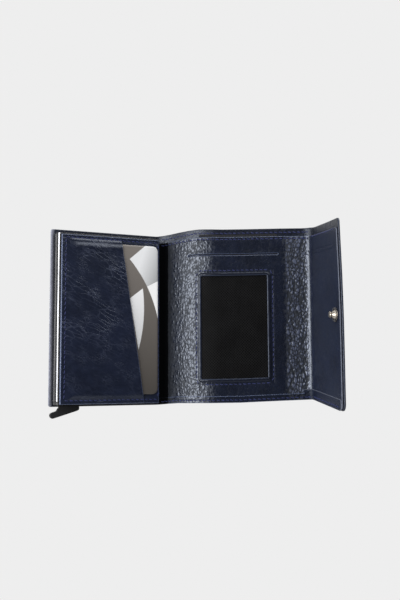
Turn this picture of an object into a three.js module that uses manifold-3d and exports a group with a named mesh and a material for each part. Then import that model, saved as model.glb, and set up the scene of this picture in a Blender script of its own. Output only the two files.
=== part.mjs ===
// Tri-fold leather wallet built round a pop-up aluminium card case, lying open on its back.
// Frame: X from the case towards the cover, Y along the height of the wallet, +Z up out of the
// table. Z = 0 is the outer face of the back leather, X = 0 the left flank of the case.
import * as THREE from 'three';
import { mergeVertices } from 'three/addons/utils/BufferGeometryUtils.js';
import Module from 'manifold-3d';

const wasm = await Module();
wasm.setup();

// ---------------------------------------------------------------- driving dimensions (mm)
const H = 99.5;            // height of the outer leather
const OUTER_T = 1.1;       // outer leather
const FOLD_X = 62.4;       // first fold line
const FOLD_Z = 0.55;       // mid-plane of the outer leather on the back

const CASE_W = 60.6, CASE_T = 8.0, CASE_Z0 = 2.2, CASE_WALL = 0.9;
const CASE_TOP = 47.2, CASE_BOT = -46.6, CASE_R = 2.3;
const GROOVE_D = 0.35, GROOVE_Z0 = 5.0, GROOVE_Z1 = 7.5;
const CAP_BOT = -48.5;

const PANEL = { x0: 1.6, x1: 59.6, y0: -48.3, y1: 46.4, z0: 10.4, t: 0.6, r: 1.6 };
const CARD = { x0: 4.6, w: 54.0, h: 85.6, yc: -0.4, t: 0.76, z0: 11.15, r: 3.18 };
const POCKET = { z0: 12.0, t: 0.8, rimZ0: 11.15, diagBot: 50.4, diagTop: 36.6, rim: 2.55 };

const LEVER = { px: 10, py: -45, z0: 4.7, t: 3.0, bore: 1.25, pin: 1.2 };

// leather segments: length along the sheet, angle to the back, height offset at start and end
const SEG = {
  spine: { len: 14.85, ang: 27.6, s0: 0.0, s1: 0.9 },
  root: { len: 15.67, ang: 81.1, s0: 0.9, s1: 1.5 },
  cover: { len: 49.58, ang: 21.9, s0: 1.5, s1: 2.9 },
  side: { len: 18.45, ang: 23.0, s0: 2.9, s1: 3.1 },
  flap: { len: 46.4, ang: 105.0, s0: 3.1, s1: -1.1 },
};
const WINDOW = { u0: 1.4, u1: 40.8, y0: -36.2, y1: 22.2, r: 1.0, bind: 2.1 };
const SLIT = { u0: 2.0, u1: 47.6, y: 34.7, w: 0.7 };
const LINING_TOP = 44.9;
const HEM = -45.8;
const STUD = { u: 39.0, y: -0.7 };
const SOCKET = { x: 36.15, y: -1.13 };

let fx = FOLD_X, fz = FOLD_Z;
for (const k of Object.keys(SEG)) {
  const s = SEG[k];
  s.a = THREE.MathUtils.degToRad(s.ang);
  s.x = fx; s.z = fz;
  fx += s.len * Math.cos(s.a);
  fz += s.len * Math.sin(s.a);
}

// ---------------------------------------------------------------- materials
const mat = (hex, rough, metal = 0) =>
  new THREE.MeshStandardMaterial({ color: hex, roughness: rough, metalness: metal });
const M = {
  leather: () => mat(0x1b2130, 0.55),
  smooth: () => mat(0x1a1f2c, 0.45),
  lining: () => mat(0x161a26, 0.6),
  mesh: () => mat(0x202023, 0.8),
  alu: () => mat(0xb9bcc0, 0.32, 1),
  nickel: () => mat(0xb4ada6, 0.25, 1),
  steel: () => mat(0x9a9da0, 0.35, 1),
  black: () => mat(0x121214, 0.5),
  felt: () => mat(0x2a2a2c, 0.95),
  card: () => mat(0x67615b, 0.3),
};

// ---------------------------------------------------------------- helpers
const group = new THREE.Group();
group.name = 'card_holder';
const add = (name, geometry, material) => {
  const m = new THREE.Mesh(geometry, material);
  m.name = name;
  group.add(m);
};

function clean(geo) {
  const g = geo.clone();
  g.deleteAttribute('normal');
  g.deleteAttribute('uv');
  return mergeVertices(g, 1e-5);
}
function solid(geo) {
  const g = clean(geo);
  return new wasm.Manifold(new wasm.Mesh({
    numProp: 3,
    vertProperties: new Float32Array(g.attributes.position.array),
    triVerts: new Uint32Array(g.index.array),
  }));
}
function geom(man) {
  const m = man.getMesh();
  const g = new THREE.BufferGeometry();
  g.setAttribute('position', new THREE.BufferAttribute(new Float32Array(m.vertProperties), 3));
  g.setIndex(new THREE.BufferAttribute(new Uint32Array(m.triVerts), 1));
  const f = g.toNonIndexed();
  f.computeVertexNormals();
  return f;
}

// rectangle with its own radius at each corner: bottom-left, bottom-right, top-right, top-left
function rrect(x0, y0, x1, y1, r, Cls = THREE.Shape, n = 6) {
  const rr = Array.isArray(r) ? r : [r, r, r, r];
  const c = [[x0, y0, 180], [x1, y0, 270], [x1, y1, 0], [x0, y1, 90]];
  const sx = [1, -1, -1, 1], sy = [1, 1, -1, -1];
  const pts = [];
  c.forEach(([x, y, a0], i) => {
    const q = rr[i];
    if (q < 1e-6) { pts.push(new THREE.Vector2(x, y)); return; }
    for (let k = 0; k <= n; k++) {
      const a = THREE.MathUtils.degToRad(a0 + 90 * k / n);
      pts.push(new THREE.Vector2(x + sx[i] * q + q * Math.cos(a), y + sy[i] * q + q * Math.sin(a)));
    }
  });
  return new Cls(pts);
}
function poly(pts, Cls = THREE.Shape) { return new Cls(pts.map(([x, y]) => new THREE.Vector2(x, y))); }
function circle(x, y, r, n = 28) {
  const pts = [];
  for (let k = 0; k < n; k++) pts.push(new THREE.Vector2(x + r * Math.cos(2 * Math.PI * k / n), y + r * Math.sin(2 * Math.PI * k / n)));
  return new THREE.Path(pts);
}
const slab = (shape, z0, t) => {
  const g = new THREE.ExtrudeGeometry(shape, { depth: t, bevelEnabled: false, curveSegments: 1 });
  g.translate(0, 0, z0);
  return g;
};
// profile drawn in X and Z, pushed along Y from y0 to y1
const alongY = (shape, y0, y1) => {
  const g = new THREE.ExtrudeGeometry(shape, { depth: y1 - y0, bevelEnabled: false, curveSegments: 1 });
  g.rotateX(Math.PI / 2);
  g.translate(0, y1, 0);
  return g;
};
// a flat piece of one leather segment: outline in (u, y), from n0 to n1 above the outer mid-plane
function segMatrix(k) {
  const s = SEG[k];
  const sh = (s.s1 - s.s0) / s.len;
  const c = Math.cos(s.a), d = Math.sin(s.a);
  return new THREE.Matrix4().set(
    c, 0, -d, s.x,
    sh, 1, 0, s.s0,
    d, 0, c, s.z,
    0, 0, 0, 1);
}
const onSeg = (k, shape, n0, n1) => slab(shape, n0, n1 - n0).applyMatrix4(segMatrix(k));
const lathe = (pts, n = 36) => {
  const g = new THREE.LatheGeometry(pts.map(([r, z]) => new THREE.Vector2(r, z)), n);
  g.rotateX(Math.PI / 2);     // the lathe axis Y becomes Z
  return g;
};

// ---------------------------------------------------------------- aluminium case
function caseProfile(inset = 0) {
  const x0 = inset, x1 = CASE_W - inset, z0 = CASE_Z0 + inset, z1 = CASE_Z0 + CASE_T - inset, r = CASE_R - inset;
  const arc = (cx, cz, a0) => {
    const p = [];
    for (let k = 0; k <= 7; k++) {
      const a = THREE.MathUtils.degToRad(a0 + 90 * k / 7);
      p.push([cx + r * Math.cos(a), cz + r * Math.sin(a)]);
    }
    return p;
  };
  return [
    ...arc(x0 + r, z0 + r, 180), ...arc(x1 - r, z0 + r, 270),
    [x1, GROOVE_Z0], [x1 - GROOVE_D, GROOVE_Z0 + 0.25], [x1 - GROOVE_D, GROOVE_Z1 - 0.25], [x1, GROOVE_Z1],
    ...arc(x1 - r, z1 - r, 0), ...arc(x0 + r, z1 - r, 90),
    [x0, GROOVE_Z1], [x0 + GROOVE_D, GROOVE_Z1 - 0.25], [x0 + GROOVE_D, GROOVE_Z0 + 0.25], [x0, GROOVE_Z0],
  ];
}
const IN = { x0: 1.3, x1: CASE_W - 1.3, z0: CASE_Z0 + CASE_WALL, z1: CASE_Z0 + CASE_T - CASE_WALL };
const shellShape = poly(caseProfile());
shellShape.holes.push(rrect(IN.x0, IN.z0, IN.x1, IN.z1, 0.9, THREE.Path, 4));
add('case_shell', alongY(shellShape, CASE_BOT, CASE_TOP), M.alu());

// moulded end cap: flange over the tube's lower end, collar inside it, slot for the lever
{
  let cap = solid(alongY(poly(caseProfile(0.1)), CAP_BOT, CASE_BOT - 0.15));
  const collar = rrect(IN.x0 + 0.15, IN.z0 + 0.15, IN.x1 - 0.15, IN.z1 - 0.15, 0.8, THREE.Shape, 4);
  collar.holes.push(rrect(IN.x0 + 1.2, IN.z0 + 1.05, IN.x1 - 1.2, IN.z1 - 1.05, 0.5, THREE.Path, 3));
  cap = cap.add(solid(alongY(collar, CASE_BOT - 0.6, -41.6)));
  const slot = new THREE.BoxGeometry(16.6, 4, 3.8);
  slot.translate(1.5 + 8.3, -47.6, LEVER.z0 + LEVER.t / 2);
  cap = cap.subtract(solid(slot));
  const seat = new THREE.CylinderGeometry(1.35, 1.35, 12, 24);
  seat.rotateX(Math.PI / 2);
  seat.translate(LEVER.px, LEVER.py, LEVER.z0 + LEVER.t / 2);
  cap = cap.subtract(solid(seat));
  add('case_end_cap', geom(cap), M.black());
}
{
  const ring = rrect(IN.x0 + 0.15, IN.z0 + 0.15, IN.x1 - 0.15, IN.z1 - 0.15, 0.8, THREE.Shape, 4);
  ring.holes.push(rrect(IN.x0 + 1.4, IN.z0 + 0.6, IN.x1 - 1.4, IN.z1 - 0.6, 0.5, THREE.Path, 3));
  add('case_mouth_ring', alongY(ring, 43.4, 46.9), M.black());
}
const box = (x0, y0, z0, x1, y1, z1) => {
  const g = new THREE.BoxGeometry(x1 - x0, y1 - y0, z1 - z0);
  g.translate((x0 + x1) / 2, (y0 + y1) / 2, (z0 + z1) / 2);
  return g;
};
add('card_rail_left', box(IN.x0 + 0.2, -41.2, 3.75, 2.8, 43.1, 8.65), M.black());
add('card_rail_right', box(57.8, -41.2, 3.75, IN.x1 - 0.2, 43.1, 8.65), M.black());
add('friction_pad_front', box(12, -8, 8.75, 48.6, 30, 9.15), M.felt());
add('friction_pad_back', box(12, -8, 3.25, 48.6, 30, 3.65), M.felt());

// ---------------------------------------------------------------- eject lever and its pin
{
  const tip = [];
  for (let k = 0; k <= 10; k++) {
    const a = THREE.MathUtils.degToRad(118 + 170 * k / 10);
    tip.push([-0.6 + 1.6 * Math.cos(a), -54.2 + 1.6 * Math.sin(a)]);
  }
  const hub = [];
  for (let k = 0; k <= 8; k++) {
    const a = THREE.MathUtils.degToRad(82 + 100 * k / 8);
    hub.push([LEVER.px + 2.9 * Math.cos(a), LEVER.py + 2.9 * Math.sin(a)]);
  }
  const s = poly([
    ...hub, [5.6, -46.4], [3.5, -48.6], [1.3, -51.9], ...tip,
    [12.6, -51.9], [13.6, -51.4], [13.9, -50.6], [13.9, -46.5],
    [52.6, -46.2], [54.2, -45.2], [54.4, -43.9], [53.0, -43.1],
  ]);
  s.holes.push(circle(LEVER.px, LEVER.py, LEVER.bore));
  add('eject_lever', slab(s, LEVER.z0, LEVER.t), M.black());
  const pin = lathe([[0, 3.3], [LEVER.pin, 3.3], [LEVER.pin, 9.1], [0, 9.1]]);
  pin.translate(LEVER.px, LEVER.py, 0);
  add('lever_pin', pin, M.steel());
}

// ---------------------------------------------------------------- back leather and snap socket
{
  const s = rrect(-1.1, -H / 2, FOLD_X - 0.7, H / 2, [3.2, 0, 0, 3.2]);
  s.holes.push(circle(SOCKET.x, SOCKET.y, 4.6, 32));
  add('back_leather', slab(s, 0, OUTER_T), M.leather());
  const b = rrect(-0.6, -H / 2 + 0.6, 60.4, H / 2 - 0.6, [2.6, 0.4, 0.4, 2.6]);
  b.holes.push(circle(SOCKET.x, SOCKET.y, 4.9, 32));
  add('back_stiffener', slab(b, 1.3, 0.7), M.lining());
  const so = lathe([[2.25, 0.12], [4.4, 0.12], [4.4, 0.45], [3.05, 0.6], [3.05, 1.95], [2.25, 1.95], [2.05, 1.2], [2.25, 0.12]]);
  so.translate(SOCKET.x, SOCKET.y, 0);
  add('snap_socket', so, M.nickel());
  const wa = lathe([[3.25, 1.3], [4.7, 1.3], [4.7, 1.9], [3.25, 1.9], [3.25, 1.3]]);
  wa.translate(SOCKET.x, SOCKET.y, 0);
  add('socket_washer', wa, M.nickel());
}

// ---------------------------------------------------------------- leather on the face of the case
add('front_panel', slab(rrect(PANEL.x0, PANEL.y0, PANEL.x1, PANEL.y1, PANEL.r), PANEL.z0, PANEL.t), M.smooth());
{
  const cy0 = CARD.yc - CARD.h / 2, cy1 = CARD.yc + CARD.h / 2;
  add('pocket_card', slab(rrect(CARD.x0, cy0, CARD.x0 + CARD.w, cy1, CARD.r), CARD.z0, CARD.t), M.card());
  const y0 = PANEL.y0 + 0.15, y1 = PANEL.y1 - 0.15, x0 = PANEL.x0 + 0.15;
  const skin = poly([[x0 + 1.2, y0], [POCKET.diagBot, y0], [POCKET.diagTop, y1], [x0 + 1.2, y1], [x0, y1 - 1.2], [x0, y0 + 1.2]]);
  let p = solid(slab(skin, POCKET.rimZ0, POCKET.z0 + POCKET.t - POCKET.rimZ0));
  const hollow = box(x0 + POCKET.rim, cy0 - 0.4, POCKET.rimZ0 - 1, 70, cy1 + 0.35, POCKET.z0);
  p = p.subtract(solid(hollow));
  add('pocket_leather', geom(p), M.smooth());
}

// ---------------------------------------------------------------- folding leather
const full = (k, u0, u1, y0, y1, r = 0) => rrect(u0, y0, u1, y1, r);
const Y0 = -H / 2, Y1 = H / 2;
add('spine_outer', onSeg('spine', full('spine', 0.7, SEG.spine.len - 0.7, Y0, Y1), -0.55, 0.55), M.leather());
add('spine_lining', onSeg('spine', full('spine', 1.8, 12.5, Y0 + 0.3, Y1 - 2.6), 0.75, 1.45), M.lining());

add('root_outer', onSeg('root', full('root', 0.7, SEG.root.len - 0.5, Y0, Y1), -0.55, 0.55), M.leather());
add('root_lining', onSeg('root', full('root', 2.4, SEG.root.len - 0.15, Y0 + 0.3, LINING_TOP), 1.0, 2.05), M.lining());

const CL = SEG.cover.len;
add('cover_outer', onSeg('cover', full('cover', 0.5, CL - 0.7, Y0, Y1), -0.55, 0.55), M.leather());
add('note_divider', onSeg('cover', full('cover', 0.6, CL - 2.0, Y0 + 0.4, LINING_TOP + 1.6), 0.75, 1.1), M.lining());
{
  const s = full('cover', 0.15, CL - 1.8, HEM + 0.15, LINING_TOP);
  s.holes.push(rrect(WINDOW.u0 - 1.0, WINDOW.y0 - WINDOW.bind, WINDOW.u1 + WINDOW.bind, WINDOW.y1 + WINDOW.bind, 1.8, THREE.Path, 4));
  s.holes.push(poly([[SLIT.u0, SLIT.y - SLIT.w / 2], [SLIT.u1, SLIT.y - SLIT.w / 2], [SLIT.u1, SLIT.y + SLIT.w / 2], [SLIT.u0, SLIT.y + SLIT.w / 2]], THREE.Path));
  add('cover_lining', onSeg('cover', s, 1.35, 2.05), M.lining());
  add('cover_hem', onSeg('cover', full('cover', 0.15, CL - 1.8, Y0 + 0.15, HEM), 1.3, 2.25), M.leather());
  const w = WINDOW;
  const f = rrect(w.u0 - 0.85, w.y0 - w.bind + 0.15, w.u1 + w.bind - 0.15, w.y1 + w.bind - 0.15, 1.65, THREE.Shape, 4);
  f.holes.push(rrect(w.u0, w.y0, w.u1, w.y1, w.r, THREE.Path, 4));
  add('window_binding', onSeg('cover', f, 1.65, 2.25), M.leather());
  add('window_mesh', onSeg('cover', rrect(w.u0 - 0.7, w.y0 - 1.6, w.u1 + 1.6, w.y1 + 1.6, 1.0, THREE.Shape, 3), 1.25, 1.5), M.mesh());
}

add('side_outer', onSeg('side', full('side', 0.7, SEG.side.len - 0.7, Y0, Y1), -0.55, 0.55), M.leather());
add('side_lining', onSeg('side', full('side', 2.6, SEG.side.len - 1.7, Y0 + 0.3, LINING_TOP), 0.75, 1.45), M.lining());

{
  const FL = SEG.flap.len;
  const o = rrect(0.7, Y0, FL, Y1, [0, 4.5, 4.5, 0]);
  o.holes.push(circle(STUD.u, STUD.y, 1.3, 20));
  add('flap_outer', onSeg('flap', o, -0.55, 0.55), M.leather());
  const l = rrect(1.8, Y0 + 0.5, FL - 0.9, Y1 - 1.6, [0, 3.8, 3.8, 0]);
  l.holes.push(circle(STUD.u, STUD.y, 1.3, 20));
  add('flap_lining', onSeg('flap', l, 0.75, 1.45), M.lining());
  const place = (g) => { g.translate(STUD.u, STUD.y, 0); g.applyMatrix4(segMatrix('flap')); return g; };
  add('snap_stud', place(lathe([
    [0, -0.5], [1.1, -0.5], [1.1, 1.58], [3.7, 1.58], [3.9, 1.72], [3.9, 1.88], [3.6, 2.0], [2.6, 2.3],
    [1.85, 3.0], [1.4, 3.5], [1.4, 3.75], [1.8, 4.1], [1.9, 4.45], [1.75, 4.8], [1.2, 5.08], [0, 5.15]])), M.nickel());
  add('snap_cap', place(lathe([
    [0, -1.65], [1.8, -1.6], [3.6, -1.4], [4.7, -1.05], [5.0, -0.8], [4.9, -0.65], [0, -0.65]])), M.nickel());
}

export default group;
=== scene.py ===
import math
import bpy
import numpy as np
from mathutils import Matrix, Vector, noise


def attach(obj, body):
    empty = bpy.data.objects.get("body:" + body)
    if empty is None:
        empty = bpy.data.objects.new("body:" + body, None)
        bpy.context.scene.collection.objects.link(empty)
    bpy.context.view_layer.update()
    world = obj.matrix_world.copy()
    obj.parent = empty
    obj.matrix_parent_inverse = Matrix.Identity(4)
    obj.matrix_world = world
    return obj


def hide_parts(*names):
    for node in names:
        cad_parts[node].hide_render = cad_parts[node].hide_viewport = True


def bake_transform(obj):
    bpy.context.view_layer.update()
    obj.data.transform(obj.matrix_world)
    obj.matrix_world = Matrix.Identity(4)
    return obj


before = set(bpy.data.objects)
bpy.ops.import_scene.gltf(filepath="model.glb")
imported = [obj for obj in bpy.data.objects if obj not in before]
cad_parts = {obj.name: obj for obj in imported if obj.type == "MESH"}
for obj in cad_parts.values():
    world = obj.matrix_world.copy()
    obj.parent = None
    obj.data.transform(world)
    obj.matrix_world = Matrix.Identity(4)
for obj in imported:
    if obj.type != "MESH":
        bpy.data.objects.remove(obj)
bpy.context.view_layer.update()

scene = bpy.context.scene
MM = 0.001

# ------------------------------------------------------------------ the leather's rest curve (mm)
H = 99.5
SEG = [("spine", 14.85, 27.6), ("root", 15.67, 81.1), ("cover", 49.58, 21.9), ("side", 18.45, 23.0), ("flap", 46.4, 105.0)]
FOLD = [(62.4, 0.55)]
S = [0.0]
for _n, _l, _a in SEG:
    _x, _z = FOLD[-1]
    FOLD.append((_x + _l * math.cos(math.radians(_a)), _z + _l * math.sin(math.radians(_a))))
    S.append(S[-1] + _l)
LEFT = -64.4                       # left edge of the back leather
SHIFT = ([LEFT, 0.0, S[1], S[2], S[3], S[4], S[5]], [0, 0.1, 1.2, 1.8, 2.9, 3.1, -1.1])
WIDE_UP = ([LEFT, S[2], S[2] + 14, S[4] + 10, S[4] + 30, S[5]], [0.018, 0.014, 0.002, 0.0, 0.006, 0.016])
WIDE_DN = ([LEFT, S[1], S[2] + 6, S[2] + 25, S[3], S[4], S[4] + 30, S[5]], [0.0, 0.002, 0.012, 0.018, 0.009, 0.0, 0.012, 0.02])
BOW = ([-50, -20, 0, 20, 50], [1.75, 1.8, 1.75, 1.45, 0.6])     # the flap's free edge leans out by this much
# The leather rises from the case to the cover in one easy S: knots are (length, x, z, fillet before, fillet after).
KNOTS = [(LEFT, FOLD[0][0] + LEFT, FOLD[0][1], 0, 0), (0.0, *FOLD[0], 1.5, 2.6), (6.6, 67.6, 4.5, 3.6, 6.0), (S[2] + 0.3, 79.3, 24.7, 11.0, 13.0),
         (S[2] + 26.0, FOLD[2][0] + 26.0 * math.cos(math.radians(21.9)), FOLD[2][1] + 26.0 * math.sin(math.radians(21.9)), 8.0, 8.0),
         (S[3], *FOLD[3], 7.0, 6.5), (S[4], *FOLD[4], 6.5, 6.0), (S[5], *FOLD[5], 0, 0)]


def line(s):
    for p, q in zip(KNOTS, KNOTS[1:]):
        if s <= q[0] or q is KNOTS[-1]:
            t = (s - p[0]) / (q[0] - p[0])
            return (p[1] + (q[1] - p[1]) * t, p[2] + (q[2] - p[2]) * t)


def curve(s):
    """Middle of the outer leather at length s: (x, z)."""
    for k, x, z, a, b in KNOTS[1:-1]:
        if k - a < s < k + b:
            t = (s - k + a) / (a + b)
            p0, p2 = line(k - a), line(k + b)
            return ((1 - t) ** 2 * p0[0] + 2 * t * (1 - t) * x + t * t * p2[0], (1 - t) ** 2 * p0[1] + 2 * t * (1 - t) * z + t * t * p2[1])
    return line(s)


_cache = {}


def frame_at(s):
    k = round(s, 4)
    if k not in _cache:
        (x, z), (xa, za), (xb, zb) = curve(s), curve(s - 0.05), curve(s + 0.05)
        tx, tz = xb - xa, zb - za
        l = math.hypot(tx, tz)
        _cache[k] = (x, z, tx / l, tz / l, float(np.interp(s, *SHIFT)))
    return _cache[k]


def at(s, y, n):
    x, z, tx, tz, sh = frame_at(s)
    y = y * (1 + float(np.interp(s, *(WIDE_UP if y > 0 else WIDE_DN))))
    if s > S[4] + 4:
        n -= float(np.interp(y, *BOW)) * ((s - S[4] - 4) / (S[5] - S[4] - 4)) ** 1.1
    return (x - n * tz, y + sh, z + n * tx)


def fnoise(x, y, z=0.0):
    return noise.noise(Vector((x, y, z)))


# ------------------------------------------------------------------ mesh helpers
def new_mesh(name, verts, faces, uvs=None, attrs=None, smooth=True, mats=()):
    """uvs: one (u, v) for each vertex. attrs: {name: one number for each vertex}."""
    me = bpy.data.meshes.new(name)
    me.from_pydata([tuple(c * MM for c in v) for v in verts], [], faces)
    if uvs is not None:
        lay = me.uv_layers.new(name="UVMap")
        idx = np.empty(len(me.loops), np.int32)
        me.loops.foreach_get("vertex_index", idx)
        lay.data.foreach_set("uv", np.asarray(uvs, np.float32)[idx].ravel())
    for k, a in (attrs or {}).items():
        me.attributes.new(k, "FLOAT", "POINT").data.foreach_set("value", np.asarray(a, np.float32))
    me.polygons.foreach_set("use_smooth", [smooth] * len(me.polygons))
    me.validate()
    me.update()
    o = bpy.data.objects.new(name, me)
    scene.collection.objects.link(o)
    for m in mats:
        me.materials.append(m)
    return o


def merge_lines(vals, tol):
    out = []
    for v in sorted(vals):
        if out and v - out[-1] < tol:
            continue
        out.append(v)
    return out


def edge_lines(a, b, fine, ea=True, eb=True, holes=(), coarse=None):
    """Lines a..b; extra close ones at rounded ends and on both sides of each hole edge."""
    e = [0.0, 0.07, 0.18, 0.36, 0.6]
    fixed = {round(a, 4), round(b, 4)}
    if ea:
        fixed |= {round(a + d, 4) for d in e}
    if eb:
        fixed |= {round(b - d, 4) for d in e}
    for h, side in holes:
        fixed |= {round(h + side * d, 4) for d in e}
    if coarse:
        fixed.add(round(coarse[0], 4))
    fixed = sorted(v for v in fixed if a - 1e-6 <= v <= b + 1e-6)
    out = []
    for i, v in enumerate(fixed):
        out.append(v)
        if i + 1 < len(fixed):
            gap = fixed[i + 1] - v
            n = int(math.floor(gap / (coarse[1] if coarse and v >= coarse[0] - 1e-6 else fine) + 0.5))
            for k in range(1, n):
                out.append(v + gap * k / n)
    return out


def sheet(name, s0, s1, y0, y1, top, bot, ds=0.8, dy=0.8, ends=(True, True), holes=(), rough=None, corner=None,
          mats=(), r=0.32, place=at, uvshift=(0, 0), margin=0, coarse=None, grain_of=None):
    """A leather sheet over [s0, s1] x [y0, y1] between bot(s, y) and top(s, y) above the mid-plane, with rounded cut edges.
    holes: (s0, s1, y0, y1). corner: (which end, radius). ends: which s ends are cut (the others join the next sheet)."""
    hs, hy = [], []
    for a, b, c, d in holes:
        if a > s0:
            hs.append((a, -1))
        if b < s1:
            hs.append((b, 1))
        hy += [(c, -1), (d, 1)]
        hs += [(a, 1), (b, -1)]
        hy += [(c, 1), (d, -1)]
    ss = merge_lines(edge_lines(s0, s1, ds, ends[0], ends[1], hs, coarse), 0.012)
    ymarks = []
    if corner:
        for q in (0.05, 0.2, 0.4, 0.7, 1.1, 1.8, 2.6, 3.5):
            if q < max(corner[1:]):
                ymarks += [y0 + q, y1 - q]
    ys = merge_lines(edge_lines(y0, y1, dy, True, True, hy) + ymarks, 0.012)

    def inside(s, y):
        for a, b, c, d in holes:
            if a - 1e-4 < s < b + 1e-4 and c - 1e-4 < y < d + 1e-4:
                return True
        return False

    def dist(s, y):
        d = [y - y0, y1 - y]
        if ends[0]:
            d.append(s - s0)
        if ends[1]:
            d.append(s1 - s)
        m = min(d)
        for a, b, c, e in holes:
            dx = max(a - s, 0, s - b)
            dyy = max(c - y, 0, y - e)
            m = min(m, math.hypot(dx, dyy))
        return max(m, 0)

    def warp(s, y):
        """Pulls the corner in on an arc."""
        if not corner:
            return s
        which, rr = corner[0], corner[1] if y < (y0 + y1) / 2 else corner[2]
        d = min(y - y0, y1 - y)
        if d >= rr:
            return s
        cut = rr - math.sqrt(max(rr * rr - (rr - d) ** 2, 0))
        if which == 1:
            a = s1 - 12
            return s if s <= a else a + (s - a) * (s1 - cut - a) / (s1 - a)
        b = s0 + 12
        return s if s >= b else b + (s - b) * (b - (s0 + cut)) / (b - s0)

    nS, nY = len(ss), len(ys)
    idx = -np.ones((2, nS, nY), int)
    keep = np.zeros((nS - 1, nY - 1), bool)
    for i in range(nS - 1):
        for j in range(nY - 1):
            keep[i, j] = not inside((ss[i] + ss[i + 1]) / 2, (ys[j] + ys[j + 1]) / 2)
    used = np.zeros((nS, nY), bool)
    used[:-1, :-1] |= keep
    used[1:, :-1] |= keep
    used[:-1, 1:] |= keep
    used[1:, 1:] |= keep
    verts, uvs, edge, shade_clear_list, painted_highlight_margin, grn = [], [], [], [], [], []
    for side in (0, 1):
        for i, s in enumerate(ss):
            for j, y in enumerate(ys):
                if not used[i, j]:
                    continue
                d = dist(s, y)
                sw = warp(s, y)
                t, b = top(s, y), bot(s, y)
                rr = min(r, (t - b) * 0.48)
                cut = rr - math.sqrt(max(rr * rr - (rr - min(d, rr)) ** 2, 0))
                # rough may return (height, painted shade): the second value, 1 clear and lower darker, goes to the
                # painted-shade attribute
                extra = rough(s, y) if rough and side == 0 else 0.0
                shade_clear_value, gr = 1.0, 0.3
                if isinstance(extra, tuple):
                    extra, shade_clear_value = extra[:2]
                if grain_of:
                    gr = grain_of(s, y)
                n = t - cut + extra * min(1.0, d / 0.8) if side == 0 else b + cut
                shade_clear_list.append(shade_clear_value)
                grn.append(gr)
                idx[side, i, j] = len(verts)
                verts.append(place(sw, y, n))
                uvs.append(((sw + uvshift[0]) / 100, (y + uvshift[1]) / 100))
                e_ = max(0.0, 1 - d / 0.45) if side == 0 else max(0.0, 1 - d / 0.3)
                edge.append(e_)
                # painted highlight strip, margin wide, along the top face at the s0 end
                painted_highlight_margin.append(min(1.0, max(0.0, (margin - (s - s0)) / 0.2 + 0.5)) if margin and side == 0 else 0.0)
    faces = []
    for i in range(nS - 1):
        for j in range(nY - 1):
            if not keep[i, j]:
                continue
            faces.append((idx[0, i, j], idx[0, i + 1, j], idx[0, i + 1, j + 1], idx[0, i, j + 1]))
            faces.append((idx[1, i, j], idx[1, i, j + 1], idx[1, i + 1, j + 1], idx[1, i + 1, j]))
            for (di, dj, p, q) in ((-1, 0, (i, j + 1), (i, j)), (1, 0, (i + 1, j), (i + 1, j + 1)),
                                   (0, -1, (i, j), (i + 1, j)), (0, 1, (i + 1, j + 1), (i, j + 1))):
                a, b = i + di, j + dj
                if a < 0 or b < 0 or a >= nS - 1 or b >= nY - 1 or not keep[a, b]:
                    if (a < 0 and not ends[0]) or (a >= nS - 1 and not ends[1]):
                        continue
                    faces.append((idx[0][p], idx[1][p], idx[1][q], idx[0][q]))
    return new_mesh(name, verts, faces, uvs, {"edge": edge, "painted_shade_clear": shade_clear_list, "painted_highlight_margin": painted_highlight_margin, "grain": grn}, mats=mats)


def capsule_batch(name, items, mats, seg=7, rings=3):
    """Stitches: items are (centre, along, up, length, radius) in mm."""
    verts, faces = [], []
    for c, a, up, L, R in items:
        a = Vector(a).normalized()
        up = Vector(up)
        side = a.cross(up).normalized()
        up = side.cross(a).normalized()
        c = Vector(c)
        base = len(verts)
        prof = []
        for k in range(rings + 1):
            t = math.pi / 2 * k / rings
            prof.append((-L / 2 + R - R * math.cos(t), R * math.sin(t)))
        prof += [(-x, rr) for x, rr in reversed(prof)]
        for x, rr in prof[1:-1]:
            bow = -0.10 * (2 * x / L) ** 2 * R * 3
            for q in range(seg):
                t = 2 * math.pi * q / seg
                verts.append(tuple(c + a * x + side * (rr * math.cos(t)) + up * (rr * 0.85 * math.sin(t) + bow)))
        m = len(prof) - 2
        for k in range(m - 1):
            for q in range(seg):
                w = (q + 1) % seg
                faces.append((base + k * seg + q, base + k * seg + w, base + (k + 1) * seg + w, base + (k + 1) * seg + q))
        faces.append(tuple(base + q for q in reversed(range(seg))))
        faces.append(tuple(base + (m - 1) * seg + q for q in range(seg)))
    return new_mesh(name, verts, faces, mats=mats)


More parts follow.
